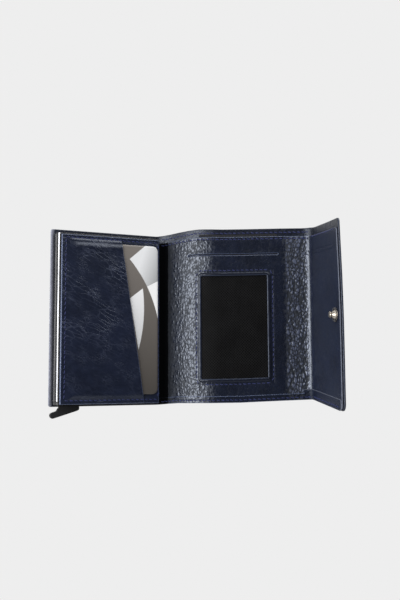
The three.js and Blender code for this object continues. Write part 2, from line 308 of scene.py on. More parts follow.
# ------------------------------------------------------------------ material helpers
class Tree:
    def __init__(self, name):
        self.m = bpy.data.materials.new(name)
        self.m.use_nodes = True
        self.t = self.m.node_tree
        self.t.nodes.clear()
        self.out = self.t.nodes.new("ShaderNodeOutputMaterial")
        self.b = self.t.nodes.new("ShaderNodeBsdfPrincipled")
        self.t.links.new(self.b.outputs[0], self.out.inputs["Surface"])

    def node(self, kind, **props):
        n = self.t.nodes.new(kind)
        for k, v in props.items():
            setattr(n, k, v)
        return n

    def put(self, sock, v):
        if isinstance(v, bpy.types.NodeSocket):
            self.t.links.new(v, sock)
        else:
            sock.default_value = v

    def uv(self, scale=1.0, sx=1.0, sy=1.0, rot=0.0):
        u = self.node("ShaderNodeUVMap", uv_map="UVMap")
        m = self.node("ShaderNodeMapping")
        self.t.links.new(u.outputs[0], m.inputs[0])
        m.inputs["Scale"].default_value = (scale * sx, scale * sy, scale)
        m.inputs["Rotation"].default_value = (0, 0, rot)
        return m.outputs[0]

    def obj(self, scale=1.0, sx=1.0, sy=1.0, sz=1.0):
        c = self.node("ShaderNodeTexCoord")
        m = self.node("ShaderNodeMapping")
        self.t.links.new(c.outputs["Object"], m.inputs[0])
        m.inputs["Scale"].default_value = (scale * sx, scale * sy, scale * sz)
        return m.outputs[0]

    def noise(self, vec, scale, detail=3, rough=0.55, dist=0.0):
        n = self.node("ShaderNodeTexNoise")
        self.t.links.new(vec, n.inputs["Vector"])
        n.inputs["Scale"].default_value = scale
        n.inputs["Detail"].default_value = detail
        n.inputs["Roughness"].default_value = rough
        n.inputs["Distortion"].default_value = dist
        return n.outputs[0]

    def voronoi(self, vec, scale, feature="F1", rand=1.0, out="Distance"):
        n = self.node("ShaderNodeTexVoronoi", feature=feature)
        self.t.links.new(vec, n.inputs["Vector"])
        n.inputs["Scale"].default_value = scale
        n.inputs["Randomness"].default_value = rand
        return n.outputs[out]

    def ramp(self, fac, stops, interp="LINEAR"):
        n = self.node("ShaderNodeValToRGB")
        self.t.links.new(fac, n.inputs[0])
        cr = n.color_ramp
        cr.interpolation = interp
        while len(cr.elements) < len(stops):
            cr.elements.new(0.5)
        for e, (p, c) in zip(cr.elements, stops):
            e.position = p
            e.color = (*c, 1) if len(c) == 3 else c
        return n.outputs[0]

    def math(self, op, a, b=0.0, c=0.0, clamp=False):
        n = self.node("ShaderNodeMath", operation=op, use_clamp=clamp)
        self.put(n.inputs[0], a)
        self.put(n.inputs[1], b)
        self.put(n.inputs[2], c)
        return n.outputs[0]

    def remap(self, v, a, b, c=0.0, d=1.0, smooth=False):
        n = self.node("ShaderNodeMapRange", interpolation_type="SMOOTHSTEP" if smooth else "LINEAR")
        self.put(n.inputs[0], v)
        for i, q in zip((1, 2, 3, 4), (a, b, c, d)):
            n.inputs[i].default_value = q
        return n.outputs[0]

    def mix(self, fac, a, b, mode="MIX"):
        n = self.node("ShaderNodeMix", data_type="RGBA", blend_type=mode)
        self.put(n.inputs[0], fac)
        self.put(n.inputs[6], (*a, 1) if isinstance(a, tuple) and len(a) == 3 else a)
        self.put(n.inputs[7], (*b, 1) if isinstance(b, tuple) and len(b) == 3 else b)
        return n.outputs[2]

    def attr(self, name):
        return self.node("ShaderNodeAttribute", attribute_name=name).outputs["Fac"]

    def bump(self, height, strength, distance, normal=None):
        n = self.node("ShaderNodeBump")
        n.inputs["Strength"].default_value = strength
        n.inputs["Distance"].default_value = distance
        self.t.links.new(height, n.inputs["Height"])
        if normal is not None:
            self.t.links.new(normal, n.inputs["Normal"])
        return n.outputs[0]

    def sep(self, vec):
        n = self.node("ShaderNodeSeparateXYZ")
        self.t.links.new(vec, n.inputs[0])
        return n.outputs


def srgb(r, g, b):
    f = lambda c: c / 255 / 12.92 if c / 255 <= 0.04045 else ((c / 255 + 0.055) / 1.055) ** 2.4
    return (f(r), f(g), f(b))


def leather(name, lo, hi, edge, grain=0.8, peb=0.35, wrinkle=0.25, rough=(0.30, 0.46), spec=0.55, coat=0.12, diag=False, pebble=None):
    """Leather. grain: size of the fine grain in mm. UV: 1 = 100 mm. The big grain is in the mesh; a vertex attribute
    carries painted shade for its cracks, its creases and the hinge channel; cut edges are in 'edge'."""
    t = Tree(name)
    uv = t.uv()
    big = t.noise(uv, 4.5, 3, 0.6)
    mid = t.noise(uv, 30, 4, 0.6, 0.4)
    warped = t.node("ShaderNodeVectorMath", operation="ADD")
    nv = t.node("ShaderNodeTexNoise")
    t.t.links.new(uv, nv.inputs["Vector"])
    nv.inputs["Scale"].default_value = 60
    sc = t.node("ShaderNodeVectorMath", operation="SCALE")
    t.t.links.new(nv.outputs["Color"], sc.inputs[0])
    sc.inputs["Scale"].default_value = 0.006
    t.t.links.new(uv, warped.inputs[0])
    t.t.links.new(sc.outputs[0], warped.inputs[1])
    cells = t.voronoi(warped.outputs[0], 100 / grain, "SMOOTH_F1")
    crack = t.voronoi(warped.outputs[0], 100 / grain * 0.8, "DISTANCE_TO_EDGE")
    pores = t.voronoi(uv, 330, "F1")
    fine = t.noise(uv, 420, 2, 0.6)
    painted_crack_shade = t.remap(crack, 0.0, 0.10, 1.0, 0.0, True)
    # wrinkles: thin ridges along one direction, in patches
    turn = t.uv(1.0, 1.0, 1.0, math.radians(28 if diag else 90))
    st = t.node("ShaderNodeMapping")
    t.t.links.new(turn, st.inputs[0])
    st.inputs["Scale"].default_value = (0.30 if diag else 0.22, 1.0, 1.0)
    bend_ = t.node("ShaderNodeVectorMath", operation="ADD")
    sc2 = t.node("ShaderNodeVectorMath", operation="SCALE")
    nv2 = t.node("ShaderNodeTexNoise")
    t.t.links.new(uv, nv2.inputs["Vector"])
    nv2.inputs["Scale"].default_value = 9
    t.t.links.new(nv2.outputs["Color"], sc2.inputs[0])
    sc2.inputs["Scale"].default_value = 0.05
    t.t.links.new(st.outputs[0], bend_.inputs[0])
    t.t.links.new(sc2.outputs[0], bend_.inputs[1])
    l1 = t.remap(t.voronoi(bend_.outputs[0], 42, "DISTANCE_TO_EDGE"), 0.0, 0.075, 1.0, 0.0, True)
    l2 = t.remap(t.voronoi(bend_.outputs[0], 85, "DISTANCE_TO_EDGE"), 0.0, 0.10, 1.0, 0.0, True)
    patch = t.math("MULTIPLY", t.remap(t.noise(uv, 6, 3), 0.38, 0.66, 0.1, 1.0, True), t.remap(t.sep(uv)[1], -0.30, 0.0, 0.25, 1.0, True) if diag else 1.0)
    patch2 = t.remap(t.noise(uv, 11, 2), 0.45, 0.62, 0.0, 1.0, True)
    wr = t.math("ADD", t.math("MULTIPLY", l1, patch), t.math("MULTIPLY", t.math("MULTIPLY", l2, 0.5), patch2))
    col = t.mix(t.remap(big, 0.3, 0.7), lo, hi)
    col = t.mix(t.math("MULTIPLY", t.remap(mid, 0.45, 0.75), 0.35), col, tuple(min(1, c * 1.5) for c in hi))
    # painted shade: the fine grain's cracks are darkened
    col = t.mix(t.math("MULTIPLY", painted_crack_shade, 0.4), col, tuple(c * 0.4 for c in lo))
    # painted highlight: the pocket leather's wrinkle lines are lightened
    if diag:
        col = t.mix(t.math("MULTIPLY", wr, 0.30), col, srgb(84, 90, 110))
    if pebble:
        pm = t.node("ShaderNodeMapping")
        t.t.links.new(warped.outputs[0], pm.inputs[0])
        pm.inputs["Scale"].default_value = (100 / pebble[0], 100 / pebble[1], 1)
        pv = t.voronoi(pm.outputs[0], 1.0, "DISTANCE_TO_EDGE")
        pc = t.voronoi(pm.outputs[0], 1.0, "F1", out="Color")
        deep = t.attr("grain")
        dome = t.math("ADD", t.remap(pv, 0.0, 0.30, 0.0, 1.0, True), t.math("MULTIPLY", t.sep(pc)[0], 0.35))
        # painted shade in the pebbles' cracks and painted highlight on their domes, both stronger where the grain is
        # deep
        painted_pebble_crack_shade = t.math("MULTIPLY", t.remap(pv, 0.0, 0.13, 1.0, 0.0, True), t.remap(deep, 0.1, 0.9, 0.3, 0.5))
        col = t.mix(painted_pebble_crack_shade, col, tuple(c * 0.2 for c in lo))
        col = t.mix(t.math("MULTIPLY", t.math("MULTIPLY", t.remap(pv, 0.12, 0.35, 0, 1), deep), 0.35), col, tuple(c * 2.0 for c in hi))
    # painted shade: darkens the colour, and raises the roughness, in the grain's cracks, along creases and in the
    # channel by the hinge
    shade_clear = t.attr("painted_shade_clear")
    painted_shade = t.remap(shade_clear, 0.15, 0.8, 0.85, 0.0, True)
    col = t.mix(painted_shade, col, tuple(c * 0.25 for c in lo))
    # painted highlight: the lining's pebble tops are lightened where the grain is deepest, on the side strip
    if name == "leather_lining":
        painted_highlight_tops = t.math("MULTIPLY", t.remap(shade_clear, 0.45, 1.0, 0.0, 1.0, True), t.remap(t.attr("grain"), 0.80, 1.0, 0.0, 1.0, True))
        col = t.mix(t.math("MULTIPLY", painted_highlight_tops, 0.75), col, srgb(92, 98, 118))
    # edge paint on the cut edges, made light enough to stand in for the highlight along them: edge paint and painted
    # highlight
    e = t.attr("edge")
    edge_paint_and_highlight = t.math("MULTIPLY", t.remap(e, 0.15, 0.85, 0, 1, True), t.remap(t.noise(uv, 24, 3), 0.3, 0.7, 0.65, 1.0))
    col = t.mix(edge_paint_and_highlight, col, edge)
    # painted highlight: a light strip along the back leather's left margin beside the case
    col = t.mix(t.math("MULTIPLY", t.attr("painted_highlight_margin"), t.remap(t.noise(uv, 40, 3), 0.3, 0.7, 0.7, 1.0)), col, srgb(150, 152, 166))
    t.t.links.new(col, t.b.inputs["Base Color"])
    r = t.remap(t.math("ADD", t.math("MULTIPLY", mid, 0.6), t.math("MULTIPLY", t.noise(uv, 160, 2), 0.4)), 0.35, 0.65, rough[0], rough[1])
    r = t.math("ADD", r, t.math("MULTIPLY", painted_shade, 0.55))
    t.t.links.new(r, t.b.inputs["Roughness"])
    h = t.remap(cells, 0.0, 0.75, 1.0, 0.0)
    h = t.math("ADD", h, t.math("MULTIPLY", fine, 0.25))
    h = t.math("ADD", h, t.math("MULTIPLY", t.remap(pores, 0, 0.35, -0.5, 0.0), 0.5))
    n1 = t.bump(h, peb, 0.00012)
    if diag:
        n1 = t.bump(wr, wrinkle, 0.00007, n1)
    if pebble:
        n1 = t.bump(t.math("MULTIPLY", dome, t.remap(deep, 0.0, 1.0, 0.45, 1.0)), 1.0, 0.00006, n1)
    t.t.links.new(n1, t.b.inputs["Normal"])
    t.b.inputs["Specular IOR Level"].default_value = spec
    t.b.inputs["Specular Tint"].default_value = (0.80, 0.87, 1.0, 1)
    t.b.inputs["Coat Tint"].default_value = (0.90, 0.94, 1.0, 1)
    t.b.inputs["Coat Weight"].default_value = coat
    t.b.inputs["Coat Roughness"].default_value = 0.28
    t.b.inputs["Sheen Weight"].default_value = 0.02
    return t.m


# light blue-grey edge colour: edge paint lightened as a painted highlight
EDGE_PAINT_AND_HIGHLIGHT = srgb(88, 100, 132)
M_OUT = leather("leather_outer", srgb(9, 12, 23), srgb(17, 22, 38), srgb(50, 54, 68), 0.8, 0.25, 0.0, (0.27, 0.38), 0.5, 0.05, pebble=(0.9, 1.0))
M_LIN = leather("leather_lining", srgb(9, 13, 25), srgb(17, 23, 41), EDGE_PAINT_AND_HIGHLIGHT, 0.45, 0.07, 0.0, (0.22, 0.30), 0.75, 0.10)
# painted shade: a near-black, rougher copy of the lining leather for the lining and hem by the hinge, where the channel
# beside the case lies in shade
M_HINGE_SHADE = leather("leather_hinge_painted_shade", srgb(4, 5, 8), srgb(8, 9, 14), srgb(24, 26, 36), 0.7, 0.4, 0.0, (0.55, 0.7), 0.12, 0.0)
M_SMO = leather("leather_pocket", srgb(17, 22, 37), srgb(23, 29, 48), EDGE_PAINT_AND_HIGHLIGHT, 0.5, 0.12, 0.75, (0.25, 0.34), 0.5, 0.15, diag=True)
M_FLAP = leather("leather_flap", srgb(14, 20, 37), srgb(21, 29, 50), srgb(110, 114, 128), 0.6, 0.2, 0.0, (0.38, 0.50), 0.30, 0.0)
M_BIND = leather("leather_binding", srgb(8, 11, 21), srgb(15, 20, 36), EDGE_PAINT_AND_HIGHLIGHT, 0.45, 0.25, 0.0, (0.30, 0.42), 0.4, 0.05)


def thread():
    t = Tree("thread")
    o = t.obj(1000)
    n = t.noise(o, 1.1, 3)
    tw = t.node("ShaderNodeTexWave", wave_type="BANDS", bands_direction="DIAGONAL")
    t.t.links.new(o, tw.inputs["Vector"])
    tw.inputs["Scale"].default_value = 1.6
    tw.inputs["Distortion"].default_value = 0.4
    col = t.mix(t.remap(n, 0.3, 0.7), srgb(22, 30, 74), srgb(40, 52, 112))
    col = t.mix(t.math("MULTIPLY", tw.outputs["Fac"], 0.35), col, srgb(10, 13, 30))
    t.t.links.new(col, t.b.inputs["Base Color"])
    t.t.links.new(t.bump(tw.outputs["Fac"], 0.5, 0.00008), t.b.inputs["Normal"])
    t.b.inputs["Roughness"].default_value = 0.6
    t.b.inputs["Sheen Weight"].default_value = 0.05
    return t.m


M_THREAD = thread()


def metal(name, lo, hi, rough, bump=0.15, brushed=None, painted_case_shading=False, fine=900):
    t = Tree(name)
    sx, sy, sz = brushed or (1, 1, 1)
    v = t.obj(1.0, sx, sy, sz)
    n = t.noise(v, fine, 3, 0.6)
    smear = t.noise(t.obj(), 60, 3)
    col = t.mix(t.remap(n, 0.3, 0.7), lo, hi)
    col = t.mix(t.math("MULTIPLY", t.remap(smear, 0.5, 0.75), 0.25), col, tuple(c * 0.75 for c in lo))
    met = None
    # painted reflections and shade on the case: on both flanks a black band over the groove stands in for a dark
    # reflection; on the left flank a light, half-metallic lower strip stands in for a bright reflection and a darker
    # upper strip dims the upper edge (painted shade); the top face is painted black, painted shadow where it shows
    # beside the panel
    if painted_case_shading:
        g = t.node("ShaderNodeTexCoord")
        x, y, z = t.sep(g.outputs["Object"])
        inz = t.math("MULTIPLY", t.math("GREATER_THAN", z, 0.0042), t.math("LESS_THAN", z, 0.0090))
        inx = t.math("ADD", t.math("LESS_THAN", x, 0.0006), t.math("GREATER_THAN", x, 0.0600), clamp=True)
        face = t.math("MULTIPLY", t.math("GREATER_THAN", z, 0.0098), t.math("MULTIPLY", t.math("GREATER_THAN", x, 0.0006), t.math("LESS_THAN", x, 0.0594)))
        face = t.math("MULTIPLY", face, t.math("LESS_THAN", y, 0.04655))
        painted_dark_mask = t.math("ADD", t.math("MULTIPLY", inz, inx), face, clamp=True)
        low = t.math("MULTIPLY", t.math("LESS_THAN", z, 0.0042), t.math("LESS_THAN", x, 0.0006))
        col = t.mix(low, col, srgb(196, 197, 200))
        col = t.mix(t.math("MULTIPLY", t.math("GREATER_THAN", z, 0.0090), t.math("LESS_THAN", x, 0.0006)), col, srgb(66, 67, 69))
        col = t.mix(painted_dark_mask, col, srgb(10, 10, 12))
        met = t.math("MULTIPLY", t.math("SUBTRACT", 1.0, painted_dark_mask), t.remap(z, 0.0048, 0.0052, 0.25, 1.0))
    t.t.links.new(col, t.b.inputs["Base Color"])
    if met is not None:
        t.t.links.new(met, t.b.inputs["Metallic"])
    else:
        t.b.inputs["Metallic"].default_value = 1.0
    t.t.links.new(t.remap(smear, 0.3, 0.75, rough[0], rough[1]), t.b.inputs["Roughness"])
    t.t.links.new(t.bump(n, bump, 0.00003), t.b.inputs["Normal"])
    return t.m


# the aluminium case, with painted reflections and shade on its flanks and face
M_ALU = metal("aluminium_case", srgb(126, 127, 130), srgb(150, 151, 155), (0.24, 0.40), 0.2, (1, 0.03, 1), True)
M_NICKEL = metal("nickel_snap", srgb(178, 168, 156), srgb(206, 198, 188), (0.16, 0.3), 0.1)
M_STEEL = metal("steel_pin", srgb(150, 152, 154), srgb(180, 182, 184), (0.25, 0.4), 0.1)


def plastic(name, col_lo, col_hi, rough, grain=1500, bump=0.25):
    t = Tree(name)
    v = t.obj()
    n = t.noise(v, grain, 2)
    w = t.noise(v, 90, 3)
    t.t.links.new(t.mix(t.remap(w, 0.3, 0.7), col_lo, col_hi), t.b.inputs["Base Color"])
    t.t.links.new(t.remap(w, 0.3, 0.7, rough[0], rough[1]), t.b.inputs["Roughness"])
    t.t.links.new(t.bump(n, bump, 0.00004), t.b.inputs["Normal"])
    return t.m


M_BLACK = plastic("black_moulded", srgb(17, 17, 18), srgb(29, 29, 31), (0.35, 0.5))


def felt():
    t = Tree("felt_pad")
    v = t.obj()
    n = t.noise(v, 2600, 4, 0.7)
    t.t.links.new(t.mix(n, srgb(22, 22, 24), srgb(52, 52, 56)), t.b.inputs["Base Color"])
    t.t.links.new(t.bump(n, 0.8, 0.0002), t.b.inputs["Normal"])
    t.b.inputs["Roughness"].default_value = 0.95
    t.b.inputs["Sheen Weight"].default_value = 0.5
    return t.m


M_FELT = felt()


def board():
    t = Tree("stiffener_board")
    v = t.obj()
    n = t.noise(v, 900, 4, 0.7)
    t.t.links.new(t.mix(n, srgb(28, 30, 38), srgb(48, 50, 58)), t.b.inputs["Base Color"])
    t.t.links.new(t.bump(n, 0.5, 0.0002), t.b.inputs["Normal"])
    t.b.inputs["Roughness"].default_value = 0.85
    return t.m


M_BOARD = board()


def woven():
    t = Tree("woven_divider")
    uv = t.uv()
    a = t.node("ShaderNodeTexWave", bands_direction="X")
    b = t.node("ShaderNodeTexWave", bands_direction="Y")
    for w in (a, b):
        t.t.links.new(uv, w.inputs["Vector"])
        w.inputs["Scale"].default_value = 62
    h = t.math("MULTIPLY", a.outputs["Fac"], b.outputs["Fac"])
    t.t.links.new(t.mix(h, srgb(9, 9, 12), srgb(30, 31, 38)), t.b.inputs["Base Color"])
    t.t.links.new(t.bump(h, 0.6, 0.0002), t.b.inputs["Normal"])
    t.b.inputs["Roughness"].default_value = 0.8
    return t.m


M_WOVEN = woven()


def net():
    t = Tree("window_net")
    pitch = 1.12
    d = t.uv(100 / pitch, 1, 1, math.radians(45))
    x, y, z = t.sep(d)
    fx = t.math("ABSOLUTE", t.math("SUBTRACT", t.math("FRACT", x), 0.5))
    fy = t.math("ABSOLUTE", t.math("SUBTRACT", t.math("FRACT", y), 0.5))
    rr = t.math("SQRT", t.math("ADD", t.math("MULTIPLY", fx, fx), t.math("MULTIPLY", fy, fy)))
    hole = t.remap(rr, 0.27, 0.37, 1.0, 0.0, True)
    big = t.noise(t.uv(), 7, 3)
    col = t.mix(hole, t.mix(t.remap(big, 0.3, 0.7), srgb(15, 15, 16), srgb(25, 25, 26)), srgb(0, 0, 0))
    t.t.links.new(col, t.b.inputs["Base Color"])
    t.t.links.new(t.bump(t.math("SUBTRACT", 1.0, hole), 0.8, 0.00025), t.b.inputs["Normal"])
    t.b.inputs["Roughness"].default_value = 0.6
    t.b.inputs["Specular IOR Level"].default_value = 0.08
    return t.m


M_NET = net()


def card_print():
    """Plain bank-size card: a taupe ground that darkens downwards, with generic silver and white sweeps."""
    t = Tree("printed_card")
    u = t.node("ShaderNodeUVMap", uv_map="UVMap")
    x, y, z = t.sep(u.outputs[0])
    x = t.math("MULTIPLY", x, 100)
    y = t.math("MULTIPLY", y, 100)

    def soft(v, w=0.12):
        return t.remap(v, -w, w, 0.0, 1.0)

    def circle(cx, cy, r):
        dx, dy = t.math("SUBTRACT", x, cx), t.math("SUBTRACT", y, cy)
        return t.math("SUBTRACT", t.math("SQRT", t.math("ADD", t.math("MULTIPLY", dx, dx), t.math("MULTIPLY", dy, dy))), r)

    def half(x0, y0, x1, y1):
        """Positive to the left of the line from 0 to 1."""
        l = math.hypot(x1 - x0, y1 - y0)
        a, b = -(y1 - y0) / l, (x1 - x0) / l
        return t.math("ADD", t.math("MULTIPLY", t.math("SUBTRACT", x, x0), a), t.math("MULTIPLY", t.math("SUBTRACT", y, y0), b))

    def mul(*v):
        r = v[0]
        for q in v[1:]:
            r = t.math("MULTIPLY", r, q)
        return r

    out_arc = soft(circle(*ARC1))                       # outside the big sweep
    above = soft(half(36.8, 34.6, 44.9, 41.7))          # above the upper left cut
    below_cut = t.math("SUBTRACT", 1.0, above)
    split = soft(half(47.4, 19.1, 54.1, 22.6))
    A = mul(out_arc, below_cut, split)
    B = mul(out_arc, t.math("SUBTRACT", 1.0, split), below_cut, t.remap(y, -6.0, -5.6))
    in2 = t.math("SUBTRACT", 1.0, soft(circle(*ARC2)))
    under = t.math("SUBTRACT", 1.0, soft(half(37.6, 12.3, 44.8, 17.9)))
    right = t.math("SUBTRACT", 1.0, soft(half(36.8, 14.0, 42.3, -17.5)))
    right = soft(half(42.3, -17.5, 36.8, 14.0))
    C = mul(in2, under, t.math("SUBTRACT", 1.0, right))
    ground = t.mix(t.remap(y, -40, 40), srgb(76, 72, 68), srgb(122, 116, 111))
    silver = t.mix(t.remap(t.math("ADD", x, t.math("MULTIPLY", y, -0.35)), 32, 48), srgb(238, 239, 241), srgb(150, 152, 154))
    blade = t.mix(t.remap(y, -18, 16), srgb(206, 207, 208), srgb(244, 244, 246))
    col = t.mix(A, ground, silver)
    col = t.mix(B, col, srgb(252, 252, 253))
    col = t.mix(C, col, blade)
    grain = t.noise(t.uv(), 700, 2)
    col = t.mix(t.math("MULTIPLY", grain, 0.06), col, srgb(60, 58, 55))
    t.t.links.new(col, t.b.inputs["Base Color"])
    t.t.links.new(t.remap(grain, 0.3, 0.7, 0.34, 0.42), t.b.inputs["Roughness"])
    t.t.links.new(t.bump(grain, 0.1, 0.00003), t.b.inputs["Normal"])
    t.b.inputs["Coat Weight"].default_value = 0.25
    t.b.inputs["Coat Roughness"].default_value = 0.2
    return t.m


def circle3(p, q, r):
    (x1, y1), (x2, y2), (x3, y3) = p, q, r
    a = x1 * (y2 - y3) - y1 * (x2 - x3) + x2 * y3 - x3 * y2
    b = (x1 * x1 + y1 * y1) * (y3 - y2) + (x2 * x2 + y2 * y2) * (y1 - y3) + (x3 * x3 + y3 * y3) * (y2 - y1)
    c = (x1 * x1 + y1 * y1) * (x2 - x3) + (x2 * x2 + y2 * y2) * (x3 - x1) + (x3 * x3 + y3 * y3) * (x1 - x2)
    cx, cy = -b / (2 * a), -c / (2 * a)
    return cx, cy, math.hypot(x1 - cx, y1 - cy)


ARC1 = circle3((36.8, 34.6), (47.4, 19.1), (54.4, -1.5))
ARC2 = circle3((44.8, 17.9), (45.5, 3.0), (42.3, -17.5))
M_CARD = card_print()

# ------------------------------------------------------------------ zones of the folds
# cuts between pieces lie where one body alone carries the leather
CUT = [S[0] + 8.6, S[1] + 6.6, S[2] + 43.8, S[3] + 12.2]
ZONE = [(S[0] - 1.4, S[0] + 5.6), (S[1] - 6.0, S[1] + 6.0), (S[2] - 8.2, S[2] + 14.0), (S[3] - 5.0, S[3] + 6.0), (S[4] - 6.0, S[4] + 5.0)]


def bend(o, i):
    a, b = (tuple(c * MM for c in at(q, 0, 0)) for q in ZONE[i])
    a, b = (a[0], 0, a[2]), (b[0], 0, b[2])
    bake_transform(o)
    return o


def piece_spans(s0, s1):
    """[(fold index, from, to)] for a strip from s0 to s1, cut at the cuts."""
    ends = [-1e9, *CUT, 1e9]
    return [(i, max(s0, ends[i]), min(s1, ends[i + 1])) for i in range(5) if min(s1, ends[i + 1]) - max(s0, ends[i]) > 0.05]


# ------------------------------------------------------------------ surface relief of the folding leather (mm)
def sm(t):
    t = min(1, max(0, t))
    return t * t * (3 - 2 * t)



def gauss(s, c, w):
    return math.exp(-((s - c) / w) ** 2)


def pebbles(s, y, ps=1.25, py=1.75, z=0.0):
    """Leather grain: domes parted by cracks. Returns the height, 0..1, and how clear of a crack the point is, 0..1."""
    q = Vector((s / ps + 0.35 * fnoise(s * 0.5, y * 0.35, z + 1), y / py + 0.35 * fnoise(s * 0.5, y * 0.35, z + 5), z))
    d = noise.voronoi(q)[0]
    c = min(1.0, (d[1] - d[0]) / 0.42)
    c = c * (2 - c)
    return 0.55 * c + 0.45 * (1 - min(1.0, 1.3 * d[0] * d[0])), c


def grain_depth(s, y):
    k_bend = sm((s - 6.0) / 5.0) * sm((S[2] + 24.0 - s) / 20.0)
    k_side = sm((s - S[3] + 1.5) / 5.0) * sm((S[4] + 2.0 - s) / 5.0)
    return max(0.22, 0.8 * k_bend, k_side)


def relief(s, y):
    """The lining's grain: deep on the bend and on the side strip, where long creases cross it, and fine elsewhere. The
    second value is painted shade: darker in the cracks and creases, and darkest in the channel by the hinge.
    """
    k_bend = sm((s - 6.0) / 5.0) * sm((S[2] + 12.5 - s) / 13.0)
    k_side = sm((s - S[3] + 0.5) / 5.0) * sm((S[4] + 1.0 - s) / 5.0)
    p, c = pebbles(s, y, 1.65, 2.35)
    w = fnoise(s * 0.5 + 1.6 * fnoise(s * 0.09, y * 0.07, 8), y * 0.085, 7.7)
    ridge = max(0.0, 1 - abs(w) * 7.0)
    ridge = ridge * ridge * (3 - 2 * ridge)
    big = fnoise(s * 0.25, y * 0.2, 1.7)
    amp = 0.05 + 0.18 * k_bend + 0.30 * k_side
    h = amp * (p - 0.7) + 0.06 * big - (0.06 * k_bend + 0.14 * k_side) * ridge + 0.06 * k_side * fnoise(s * 0.45, y * 0.10, 3.1)
    k = max(k_bend * 0.8, k_side)
    c = min(c, 1 - ridge) * k + (1 - k) * (0.55 + 0.45 * c)
    return h, c * sm((s - 7.2) / 7.5)


def relief_out(s, y):
    p, c = pebbles(s, y, 1.1, 1.1, 20.0)
    # second value: painted shade in the outer leather's grain cracks, at half strength
    return 0.06 * fnoise(s * 0.3, y * 0.3, 12) + 0.05 * (p - 0.75), 0.5 + 0.5 * c


def lin_top(s):
    return float(np.interp(s, [0, 9, S[1] + 4, S[2] + 6, S[3] - 4, S[3] + 8, S[5]], [1.42, 1.42, 1.9, 2.02, 2.02, 1.48, 1.42]))


OUT_TOP, OUT_BOT = (lambda s, y: 0.55), (lambda s, y: -0.55)
LIN_Y1 = 44.9
HEM_Y = -45.9
pieces_of = {}

# outer leather, one piece for each fold
names = ["outer_back", "outer_spine", "outer_cover", "outer_side", "outer_flap"]
stand = [["back_leather"], ["spine_outer"], ["root_outer", "cover_outer"], ["side_outer"], ["flap_outer"]]
for i, a, b in piece_spans(LEFT, S[5]):
    fine = 1.6 if i == 0 else 0.9
    # margin: width of the painted highlight along the back leather's left edge
    o = sheet(names[i], a, b, -H / 2, H / 2, OUT_TOP, OUT_BOT, ds=fine, dy=1.1, ends=(i == 0, i == 4), rough=relief_out,
              corner=(0, 1.3, 1.3) if i == 0 else (1, 4.0, 2.0) if i == 4 else None, mats=[M_OUT], r=0.4, margin=1.15 if i == 0 else 0)
    bend(o, i)
    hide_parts(*stand[i])

# lining, with the window and the slit in the cover's piece
WIN = (S[2] + 1.6, S[2] + 41.5, -36.6, 22.6)
WX0, WX1, WY0, WY1 = S[2] + 2.0, S[2] + 41.2, -36.3, 22.3
SLIT = (S[2] - 6.6, S[2] + 47.6)


def slit_top(s, y):
    """Lining height: the slip pocket's lip stands a little proud under the slit."""
    t = lin_top(s)
    if SLIT[0] - 1 < s < SLIT[1] + 0.5:
        k = min(1, (s - SLIT[0] + 1) / 3, (SLIT[1] + 0.5 - s) / 3)
        d = 34.0 - y
        if 0 <= d < 7:
            t += 0.28 * k * math.exp(-d / 1.8)
        d = y - 35.1
        if 0 <= d < 5:
            t += 0.12 * k * math.exp(-d / 1.0)
    return t


def slit_dip(s, y):
    """The crease that carries the slit's line on past its ends and across the flap."""
    v = 0.0
    if S[4] - 2 < s < S[4] + 40:
        k = min(1, (s - S[4] + 2) / 3, (S[4] + 40 - s) / 3)
        v -= k * (0.26 * gauss(y, 34.0, 0.4) + 0.26 * gauss(y, 36.2, 0.35))
        v += 0.14 * k * gauss(y, 35.1, 0.6)
    return v


def rows_of(s, y):
    """How close a point is to a stitch row, 0..1: thread pulls the leather in."""
    if s < S[4] - 1:
        v = gauss(y, 43.5, 0.42) + gauss(y, -48.2, 0.42)
        if WX0 - 4 < s < WX1 + 4 and WY0 - 4 < y < WY1 + 4:
            d = max(WX0 - s, s - WX1, WY0 - y, y - WY1)
            v += gauss(d, 3.1, 0.42)
        return v
    return gauss(y, 44.5, 0.42) + gauss(y, -47.8, 0.42)


def lining_relief(s, y):
    h, c = relief(s, y)
    k = 1 if s < S[4] - 4 else 0.10 + 0.9 * sm((S[4] + 1 - s) / 5)
    return h * k + slit_dip(s, y) - 0.13 * rows_of(s, y), c * k + (1 - k)


lin_names = ["lining_hinge", "lining_spine", "lining_cover", "lining_side", "lining_flap"]
lin_stand = [[], ["spine_lining"], ["root_lining", "cover_lining"], ["side_lining"], ["flap_lining"]]
for i, a, b in piece_spans(0.9, S[5] - 1.0):
    holes = []
    if i == 2:
        holes = [(WIN[0], WIN[1], WIN[2], WIN[3]), (SLIT[0], b + 1, 34.25, 34.95)]
    elif i == 3:
        holes = [(a - 1, SLIT[1], 34.25, 34.95)]
    top = slit_top
    o = sheet(lin_names[i], a, b, -H / 2 + 0.25, LIN_Y1, top, lambda s, y: lin_top(s) - 0.75,
              ds=(0.8, 0.40, 0.32, 0.30, 0.30)[i], dy=(0.9, 0.42, 0.36, 0.36, 0.36)[i], ends=(i == 0, i == 4), holes=holes,
              coarse=(S[4] + 3, 0.9) if i == 4 else None, grain_of=grain_depth,
              rough=lining_relief,
              corner=(1, 3.4, 1.7) if i == 4 else None, mats=[M_HINGE_SHADE if i == 0 else M_FLAP if i == 4 else M_LIN], r=0.3)
    if i == 4:
        o.data.materials.append(M_LIN)
        uvl = o.data.uv_layers[0].data
        for p_ in o.data.polygons:
            u_, v_ = uvl[p_.loop_indices[0]].uv
            if u_ * 100 < S[4] + 0.6 + 1.6 * fnoise(3.3, v_ * 25):
                p_.material_index = 1
    bend(o, i)
    if lin_stand[i]:
        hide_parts(*lin_stand[i])

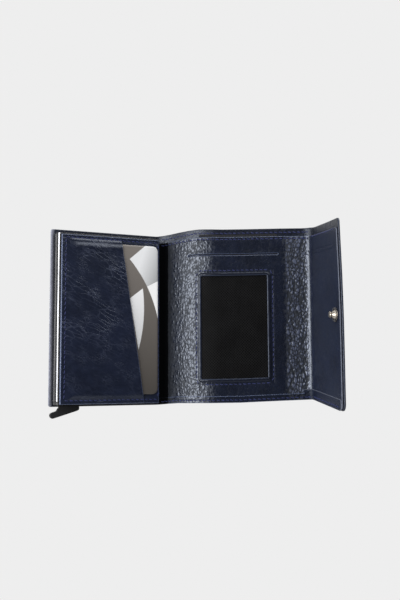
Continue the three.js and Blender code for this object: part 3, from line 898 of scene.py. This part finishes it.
# hem band along the foot of the lining
hem_names = ["hem_hinge", "hem_spine", "hem_cover", "hem_side", "hem_flap"]
for i, a, b in piece_spans(1.0, S[5] - 1.6):
    o = sheet(hem_names[i], a, b, -H / 2 + 0.1, HEM_Y if i < 4 else HEM_Y + 2.2, lambda s, y: lin_top(s) + 0.24, lambda s, y: lin_top(s) - 0.3,
              ds=0.5, dy=0.4, ends=(i == 0, i == 4), grain_of=lambda s, y: 0.6 * grain_depth(s, y), rough=lambda s, y: (relief(s, y)[0] * (0.7 if s < S[4] - 2 else 0.2) - 0.12 * rows_of(s, y), relief(s, y)[1] if s < S[4] else 1.0),
              corner=(1, 2.8, 1.2) if i == 4 else None, mats=[M_HINGE_SHADE if i == 0 else M_FLAP if i == 4 else M_LIN], r=0.22)
    bend(o, i)
    if i == 2:
        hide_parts("cover_hem")

# banknote divider between outer leather and lining
for i, a, b in piece_spans(S[2] + 0.6, S[3] - 2.0):
    o = sheet(["", "", "note_divider_main", "note_divider_end", ""][i], a, b, -H / 2 + 0.6, LIN_Y1 + 1.5, lambda s, y: 1.08, lambda s, y: 0.76,
              ds=1.4, dy=1.6, ends=(i == 2, i == 3), rough=lambda s, y: 0.03 * fnoise(s * 0.4, y * 0.4, 2), mats=[M_WOVEN], r=0.12)
    bend(o, i)
    if i == 2:
        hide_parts("note_divider")


# window: rolled binding, net behind it
def ring_path(x0, x1, y0, y1, off, rad, step=0.8):
    """Points (s, y, outward s, outward y, distance) round a rectangle grown by off, with corner radius rad + off."""
    r = rad + off
    x0, x1, y0, y1 = x0 - off, x1 + off, y0 - off, y1 + off
    pts = []

    def seg(ax, ay, bx, by, nx, ny):
        n = max(1, int(round(math.hypot(bx - ax, by - ay) / step)))
        for k in range(n):
            t = k / n
            pts.append((ax + (bx - ax) * t, ay + (by - ay) * t, nx, ny))

    def arc(cx, cy, a0):
        n = 7
        for k in range(n):
            a = math.radians(a0 + 90 * k / n)
            pts.append((cx + r * math.cos(a), cy + r * math.sin(a), math.cos(a), math.sin(a)))

    seg(x0 + r, y0, x1 - r, y0, 0, -1)
    arc(x1 - r, y0 + r, 270)
    seg(x1, y0 + r, x1, y1 - r, 1, 0)
    arc(x1 - r, y1 - r, 0)
    seg(x1 - r, y1, x0 + r, y1, 0, 1)
    arc(x0 + r, y1 - r, 90)
    seg(x0, y1 - r, x0, y0 + r, -1, 0)
    arc(x0 + r, y0 + r, 180)
    return pts


prof = [(-0.05, -0.55), (-0.12, -0.1), (0.0, 0.2), (0.3, 0.36), (0.8, 0.42), (1.3, 0.36), (1.75, 0.2), (2.05, -0.05), (2.1, -0.4), (1.0, -0.6)]
ring = ring_path(WX0, WX1, WY0, WY1, 0.0, 0.7)
verts, uvs, edge, faces = [], [], [], []
for k, (s, y, ns, ny) in enumerate(ring):
    for j, (o_, h_) in enumerate(prof):
        pucker = 0.05 * math.sin(k * 1.9) + 0.06 * fnoise(k * 0.45, j * 0.3, 2)
        n = lin_top(s) + 0.06 + h_ * 0.75 + (pucker if 1 < j < 8 else 0)
        ss_ = s + ns * o_
        yy_ = y + ny * o_
        verts.append(at(ss_, yy_, n))
        uvs.append((ss_ / 100, yy_ / 100))
        # the roll's inner lip takes part of the light edge colour: painted highlight
        edge.append(0.35 if j in (2, 3) else 0.0)
m, p = len(ring), len(prof)
for k in range(m):
    for j in range(p):
        a, b = k * p + j, k * p + (j + 1) % p
        c, d = ((k + 1) % m) * p + (j + 1) % p, ((k + 1) % m) * p + j
        faces.append((a, d, c, b))
o = new_mesh("window_roll", verts, faces, uvs, {"edge": edge, "painted_shade_clear": [1.0] * len(verts)}, mats=[M_BIND])
bend(o, 2)
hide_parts("window_binding")

o = sheet("window_net", WX0 - 0.9, WX1 + 1.4, WY0 - 1.4, WY1 + 1.4, lambda s, y: lin_top(s) - 0.42 - 0.05 * gauss(s, S[2] + 20, 14) , lambda s, y: lin_top(s) - 0.7,
          ds=1.3, dy=1.5, rough=lambda s, y: 0.05 * fnoise(s * 0.2, y * 0.2, 6), mats=[M_NET], r=0.1)
bend(o, 2)
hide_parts("window_mesh")

# ------------------------------------------------------------------ stitching
items = [[] for _ in range(5)]


def fold_of(s):
    for i, c in enumerate(CUT):
        if s < c:
            return i
    return 4


def stitch_line(s0, y0, s1, y1, height, pitch=2.7, slant=0.22, L=2.0, R=0.30, skip=None):
    l = math.hypot(s1 - s0, y1 - y0)
    n = int(l / pitch)
    ds, dy = (s1 - s0) / l, (y1 - y0) / l
    for k in range(n):
        c = (k + 0.5) * l / n
        s, y = s0 + ds * c, y0 + dy * c
        if skip and skip(s, y):
            continue
        h = height(s, y)
        a = Vector(at(s - ds * 0.5, y - dy * 0.5, h))
        b = Vector(at(s + ds * 0.5, y + dy * 0.5, h))
        along = (b - a).normalized()
        up = Vector(at(s, y, h + 1)) - Vector(at(s, y, h))
        side = along.cross(up).normalized()
        along = (along + side * slant).normalized()
        items[fold_of(s)].append((at(s, y, h + 0.06), along, up, L, R))


lin_h = lambda s, y: lin_top(s) - 0.06
hem_h = lambda s, y: lin_top(s) + 0.18
out_h = lambda s, y: 0.56
stitch_line(3.0, 47.3, S[4] - 1, 47.3, out_h)
stitch_line(3.0, 43.5, S[4] - 1, 43.5, lin_h)
stitch_line(3.0, -48.2, S[4] - 1, -48.2, hem_h)
stitch_line(S[4] + 3, 44.5, S[5] - 5, 44.5, lin_h)
stitch_line(S[4] + 3, -47.8, S[5] - 5, -47.8, hem_h)
wr = ring_path(WX0, WX1, WY0, WY1, 3.1, 0.7, 0.1)
# walk the ring at the stitch pitch
acc, last = 0.0, wr[0]
for q in wr[1:]:
    acc += math.hypot(q[0] - last[0], q[1] - last[1])
    if acc >= 2.7:
        s, y = q[0], q[1]
        ds, dy = q[0] - last[0], q[1] - last[1]
        l = math.hypot(ds, dy) or 1
        ds, dy = ds / l, dy / l
        h = lin_h(s, y)
        a, b = Vector(at(s - ds * 0.5, y - dy * 0.5, h)), Vector(at(s + ds * 0.5, y + dy * 0.5, h))
        up = Vector(at(s, y, h + 1)) - Vector(at(s, y, h))
        along = (b - a).normalized()
        along = (along + along.cross(up).normalized() * 0.16).normalized()
        items[fold_of(s)].append((at(s, y, h + 0.06), along, up, 1.95, 0.26))
        acc = 0.0
    last = q
for i, it in enumerate(items):
    if it:
        o = capsule_batch(["stitching_hinge", "stitching_spine", "stitching_cover", "stitching_side", "stitching_flap"][i], it, [M_THREAD])
        bend(o, i)

# ------------------------------------------------------------------ leather on the face of the case
flat = lambda x, y, z: (x, y, z)
def seam_dip(x, y):
    return 0.14 * (gauss(x, 4.3, 0.42) * (1 if -46 < y < 44.6 else 0) + gauss(y, 44.6, 0.42) + gauss(y, -46.2, 0.42) + gauss(x, 59.08, 0.4))


PX0, PX1, PY0, PY1 = 2.0, 59.7, -48.3, 46.4
o = sheet("panel_leather", PX0, PX1, PY0, PY1, lambda x, y: 11.02, lambda x, y: 10.38, ds=0.6, dy=0.6,
          rough=lambda x, y: 0.04 * fnoise(x * 0.8, y * 0.8, 3) - seam_dip(x, y), corner=None, mats=[M_SMO], r=0.28, place=flat)
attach(o, "case")
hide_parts("front_panel")

CY0, CY1 = -43.2, 42.4


def diag_x(y):
    return 50.4 + (36.15 - 50.4) * (y + 48.15) / 94.4


def pocket_top(x, y):
    """Pressed flat where it is sewn, full over the card, with a roll along the upper seam."""
    side = sm((x - 4.35) / 6.5)
    foot = sm((y + 46.1) / 3.4)
    t = 44.4 - y
    k = 0.30 * sm(t / 1.4) + 0.62 * sm((t - 1.6) / 3.0) - 0.34 * sm((t - 5.0) / 2.4) + 0.20 * sm((t - 8.0) / 6.0)
    return 12.05 + 0.85 * min(side, foot) * k 


def wrinkle(x, y):
    a = math.radians(28)
    u, v = x * math.cos(a) - y * math.sin(a), x * math.sin(a) + y * math.cos(a)
    w = fnoise(v * 0.42 + 1.5 * fnoise(x * 0.05, y * 0.05, 4), u * 0.07, 2.4)
    r_ = 1 - min(1.0, abs(w) * 5)
    big = fnoise(x * 0.07, y * 0.05, 11)
    return 0.14 * big - 0.045 * r_ * (0.4 + fnoise(x * 0.09, y * 0.08, 30)) + 0.025 * fnoise(v * 0.9, u * 0.16, 6.6)


def pocket_place(u, y, n):
    """u runs 0..40 from the left edge to the diagonal edge."""
    x0 = 2.1
    return (x0 + (diag_x(y) - x0) * u / 40.0, y, n)


def _px(u, y):
    return 2.1 + (diag_x(y) - 2.1) * u / 40.0


def pocket_bot(u, y):
    x = _px(u, y)
    t = pocket_top(x, y)
    low = 11.95 if 4.45 < x and CY0 - 0.15 < y < CY1 + 0.15 else 11.12
    return min(max(low, t - 0.78), t - 0.1)


o = sheet("pocket_skin", 0.0, 40.0, -48.15, 46.25, lambda u, y: pocket_top(_px(u, y), y) + 0.25 * sm((u - 34) / 6) * sm((45 - abs(y)) / 20),
          lambda u, y: pocket_bot(u, y) + 0.2 * sm((u - 34) / 6) * sm((45 - abs(y)) / 20),
          ds=0.42, dy=0.42, rough=lambda u, y: wrinkle(_px(u, y), y) * sm(min(_px(u, y) - 4, 44 - y, y + 46) / 4) - seam_dip(_px(u, y), y), mats=[M_SMO], r=0.3, place=pocket_place)
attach(o, "case")
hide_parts("pocket_leather")

pst = []


def panel_stitch(x0, y0, x1, y1, top, pitch=2.7):
    l = math.hypot(x1 - x0, y1 - y0)
    n = int(l / pitch)
    d = Vector(((x1 - x0) / l, (y1 - y0) / l, 0))
    side = d.cross(Vector((0, 0, 1)))
    for k in range(n):
        c = (k + 0.5) * l / n
        x, y = x0 + d.x * c, y0 + d.y * c
        z = top(x, y)
        pst.append(((x, y, z + 0.05), d + side * 0.2, (0, 0, 1), 2.0, 0.27))


def face_top(x, y):
    return pocket_top(x, y) - 0.08 if x < diag_x(y) - 0.3 else 10.95


panel_stitch(4.3, -45.4, 4.3, 43.8, face_top)
panel_stitch(4.3, 44.6, 58.8, 44.6, face_top)
panel_stitch(4.3, -46.2, 58.8, -46.2, face_top)
panel_stitch(59.08, -44.8, 59.08, 43.6, face_top)
o = capsule_batch("stitching_pocket", pst, [M_THREAD])
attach(o, "case")

# card in the pocket
CX0, CX1, CR = 4.6, 58.6, 3.18


def card_mesh():
    zt, zb, bev = 11.91, 11.16, 0.12

    def outline(inset):
        r, pts = CR - inset, []
        for cx, cy, a0 in ((CX1 - CR, CY0 + CR, 270), (CX1 - CR, CY1 - CR, 0), (CX0 + CR, CY1 - CR, 90), (CX0 + CR, CY0 + CR, 180)):
            for k in range(13):
                a = math.radians(a0 + 90 * k / 12)
                pts.append((cx + r * math.cos(a), cy + r * math.sin(a)))
        return pts

    rings_ = [(1.2, zb), (bev, zb), (0.03, zb + 0.06), (0.0, zb + bev), (0.0, zt - bev), (0.03, zt - 0.06), (bev, zt), (1.2, zt)]
    verts, faces = [], []
    for ins, z in rings_:
        verts += [(x, y, z) for x, y in outline(ins)]
    n = 52
    for k in range(len(rings_) - 1):
        for q in range(n):
            w = (q + 1) % n
            faces.append((k * n + q, k * n + w, (k + 1) * n + w, (k + 1) * n + q))
    faces.append(tuple(range(n - 1, -1, -1)))
    faces.append(tuple((len(rings_) - 1) * n + q for q in range(n)))
    uv = [((v[0] - CX0) / 100, (v[1] + 0.4) / 100) for v in verts]
    return new_mesh("card_plate", verts, faces, uv, mats=[M_CARD])


o = card_mesh()
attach(o, "card")
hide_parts("pocket_card")


# ------------------------------------------------------------------ snap: turned metal parts
def turned(name, pts, seg, place, mat, body, node):
    """pts: (radius, height). place maps (x, y, h) in mm round the axis to the row frame."""
    verts, faces, n = [], [], len(pts)
    rows = []
    for r_, h in pts:
        if r_ < 1e-6:
            rows.append([len(verts)])
            verts.append(place(0, 0, h))
        else:
            rows.append(list(range(len(verts), len(verts) + seg)))
            for q in range(seg):
                a = 2 * math.pi * q / seg
                verts.append(place(r_ * math.cos(a), r_ * math.sin(a), h))
    closed = pts[0] == pts[-1]
    if closed:
        rows[-1] = rows[0]
    for a, b in zip(rows, rows[1:]):
        for q in range(seg):
            w = (q + 1) % seg
            if len(a) == 1:
                faces.append((a[0], b[q], b[w]))
            elif len(b) == 1:
                faces.append((a[q], b[0], a[w]))
            else:
                faces.append((a[q], b[q], b[w], a[w]))
    o = new_mesh(name, verts, faces, mats=[mat])
    me = o.data
    import bmesh
    bm = bmesh.new()
    bm.from_mesh(me)
    loose = [v for v in bm.verts if not v.link_faces]
    bmesh.ops.delete(bm, geom=loose, context="VERTS")
    bmesh.ops.recalc_face_normals(bm, faces=bm.faces)
    bm.to_mesh(me)
    bm.free()
    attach(o, body)
    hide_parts(node)
    return o


def smooth_prof(pts, n=5):
    """Rounds a profile by inserting points on its corners."""
    out = [pts[0]]
    for a, b, c in zip(pts, pts[1:], pts[2:]):
        la, lc = math.dist(a, b), math.dist(b, c)
        d = min(0.12, la * 0.4, lc * 0.4)
        p0 = (b[0] + (a[0] - b[0]) * d / la, b[1] + (a[1] - b[1]) * d / la)
        p2 = (b[0] + (c[0] - b[0]) * d / lc, b[1] + (c[1] - b[1]) * d / lc)
        for k in range(n):
            t = k / (n - 1)
            out.append(tuple((1 - t) ** 2 * p0[i] + 2 * t * (1 - t) * b[i] + t * t * p2[i] for i in (0, 1)))
    out.append(pts[-1])
    return out


SS, SY = S[4] + 39.0, -0.7
_b, _t = Vector(at(SS, SY, 0)), (Vector(at(SS + 0.5, SY, 0)) - Vector(at(SS - 0.5, SY, 0))).normalized()
_n = Vector((-_t.z, 0, _t.x)).normalized()
on_flap = lambda x, y, h: tuple(_b + _t * x + Vector((0, y, 0)) + _n * h)
turned("snap_stud_turned", smooth_prof([(0, -0.5), (1.1, -0.5), (1.1, 1.55), (3.75, 1.55), (3.92, 1.7), (3.92, 1.9), (3.62, 2.02), (3.3, 1.98), (2.9, 2.12), (2.35, 2.5),
        (1.8, 3.1), (1.42, 3.5), (1.42, 3.78), (1.78, 4.08), (1.9, 4.45), (1.76, 4.8), (1.25, 5.06), (0.55, 5.14), (0, 5.15)]), 64, on_flap, M_NICKEL, "flap", "snap_stud")
turned("snap_cap_turned", smooth_prof([(0, -1.66), (1.8, -1.62), (3.5, -1.44), (4.5, -1.14), (4.95, -0.85), (4.95, -0.68), (4.6, -0.66), (0, -0.66)]), 72, on_flap, M_NICKEL, "flap", "snap_cap")
on_back = lambda x, y, h: (36.15 + x, -1.13 + y, h)
turned("snap_socket_turned", smooth_prof([(2.25, 0.14), (2.6, 0.1), (4.2, 0.12), (4.42, 0.3), (4.2, 0.48), (3.1, 0.6), (3.05, 1.95), (2.25, 1.95), (2.05, 1.2), (2.25, 0.14)])[:-1] + [(2.25, 0.14)], 64, on_back, M_NICKEL, "case", "snap_socket")

# ------------------------------------------------------------------ lever: grip ribs on its tip
verts, faces = [], []
for k in range(5):
    a = math.radians(150 + k * 27)
    c = Vector((-0.6 + 1.62 * math.cos(a), -54.2 + 1.62 * math.sin(a), 6.2))
    out_ = Vector((math.cos(a), math.sin(a), 0))
    tan = Vector((-math.sin(a), math.cos(a), 0))
    base = len(verts)
    for z, w in ((-1.45, 0.05), (-1.3, 0.2), (1.3, 0.2), (1.45, 0.05)):
        for q in range(6):
            t = math.pi * q / 5
            verts.append(tuple(c + Vector((0, 0, z)) + tan * (w * math.cos(t)) + out_ * (w * 0.9 * math.sin(t) - 0.03)))
    for r_ in range(3):
        for q in range(5):
            faces.append((base + r_ * 6 + q, base + r_ * 6 + q + 1, base + (r_ + 1) * 6 + q + 1, base + (r_ + 1) * 6 + q))
        faces.append((base + r_ * 6 + 5, base + r_ * 6, base + (r_ + 1) * 6, base + (r_ + 1) * 6 + 5))
    faces.append(tuple(base + q for q in reversed(range(6))))
    faces.append(tuple(base + 18 + q for q in range(6)))
o = new_mesh("lever_ribs", verts, faces, mats=[M_BLACK])
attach(o, "lever")

# ------------------------------------------------------------------ the CAD pieces that stay: softened edges, own materials
KEEP = {
    "case_shell": (M_ALU, 0.16), "case_end_cap": (M_BLACK, 0.18), "case_mouth_ring": (M_BLACK, 0.12),
    "card_rail_left": (M_BLACK, 0.12), "card_rail_right": (M_BLACK, 0.12), "friction_pad_front": (M_FELT, 0.1),
    "friction_pad_back": (M_FELT, 0.1), "lever_pin": (M_STEEL, 0.1), "eject_lever": (M_BLACK, 0.3),
    "back_stiffener": (M_BOARD, 0.1), "socket_washer": (M_NICKEL, 0.08),
}
for name, (mat_, bev) in KEEP.items():
    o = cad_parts[name]
    for s_ in o.material_slots:
        s_.material = mat_
    if not o.material_slots:
        o.data.materials.append(mat_)
    w = o.modifiers.new("weld", "WELD")
    w.merge_threshold = 1e-6
    b = o.modifiers.new("bevel", "BEVEL")
    b.width = bev * MM
    b.segments = 3
    b.limit_method = "ANGLE"
    b.angle_limit = math.radians(35)
    b.harden_normals = False

# ------------------------------------------------------------------ floor, light, camera
def floor():
    v = [(-900, -900, -0.02), (900, -900, -0.02), (900, 900, -0.02), (-900, 900, -0.02)]
    o = new_mesh("floor", v, [(0, 1, 2, 3)], smooth=False)
    m = bpy.data.materials.new("floor_pale")
    m.use_nodes = True
    t = m.node_tree
    t.nodes.clear()
    out = t.nodes.new("ShaderNodeOutputMaterial")
    dif = t.nodes.new("ShaderNodeBsdfDiffuse")
    dif.inputs[0].default_value = (0.8, 0.8, 0.8, 1)
    em = t.nodes.new("ShaderNodeEmission")
    em.inputs[0].default_value = (*srgb(238, 238, 238), 1)
    lp = t.nodes.new("ShaderNodeLightPath")
    mx = t.nodes.new("ShaderNodeMixShader")
    t.links.new(lp.outputs["Is Camera Ray"], mx.inputs[0])
    t.links.new(dif.outputs[0], mx.inputs[1])
    t.links.new(em.outputs[0], mx.inputs[2])
    t.links.new(mx.outputs[0], out.inputs[0])
    o.data.materials.append(m)
    return o


floor()

world = bpy.data.worlds.new("studio")
scene.world = world
world.use_nodes = True
world.node_tree.nodes["Background"].inputs[0].default_value = (0.95, 0.97, 1.0, 1)
world.node_tree.nodes["Background"].inputs[1].default_value = 0.07


def area(name, loc, target, size, power, col=(1, 1, 1)):
    l = bpy.data.lights.new(name, "AREA")
    l.shape = "RECTANGLE"
    l.size, l.size_y = size
    l.energy = power
    l.color = col
    o = bpy.data.objects.new(name, l)
    o.location = loc
    o.rotation_mode = "QUATERNION"
    o.rotation_quaternion = (Vector(target) - Vector(loc)).to_track_quat("-Z", "Y")
    scene.collection.objects.link(o)
    return o


def box(name, direction, dist, size, power):
    d = Vector(direction).normalized()
    area(name, Vector((0.07, 0, 0.02)) + d * dist, (0.07, 0, 0.02), size, power)


box("box_left", (-0.94, 0.08, 0.34), 0.8, (0.42, 0.85), 8.8)
box("box_top", (0.22, 0.72, 0.62), 0.85, (0.85, 0.30), 4.7)
box("box_front", (-0.05, -0.75, 0.66), 0.85, (0.9, 0.5), 1.2)

cam = bpy.data.objects.new("camera", bpy.data.cameras.new("camera"))
scene.collection.objects.link(cam)
scene.camera = cam
R = Matrix(((0.9190769379496566, -0.00477795766894281, 0.3940491761818528),
            (-0.03546595831908517, 0.9948659448900891, 0.09478352957429789),
            (-0.3924789776912796, -0.10108868778734187, 0.9141888914616286)))
R = R.to_quaternion().to_matrix()
cam.matrix_world = Matrix.Translation((-0.08900760, -0.03284353, 0.41794256)) @ R.transposed().to_4x4()
cam.data.sensor_fit = "AUTO"
cam.data.sensor_width = 36
cam.data.lens = 745.37 * 36 / 600
cam.data.clip_start = 0.01
cam.data.clip_end = 10
scene.view_settings.view_transform = "Standard"
scene.view_settings.look = "None"
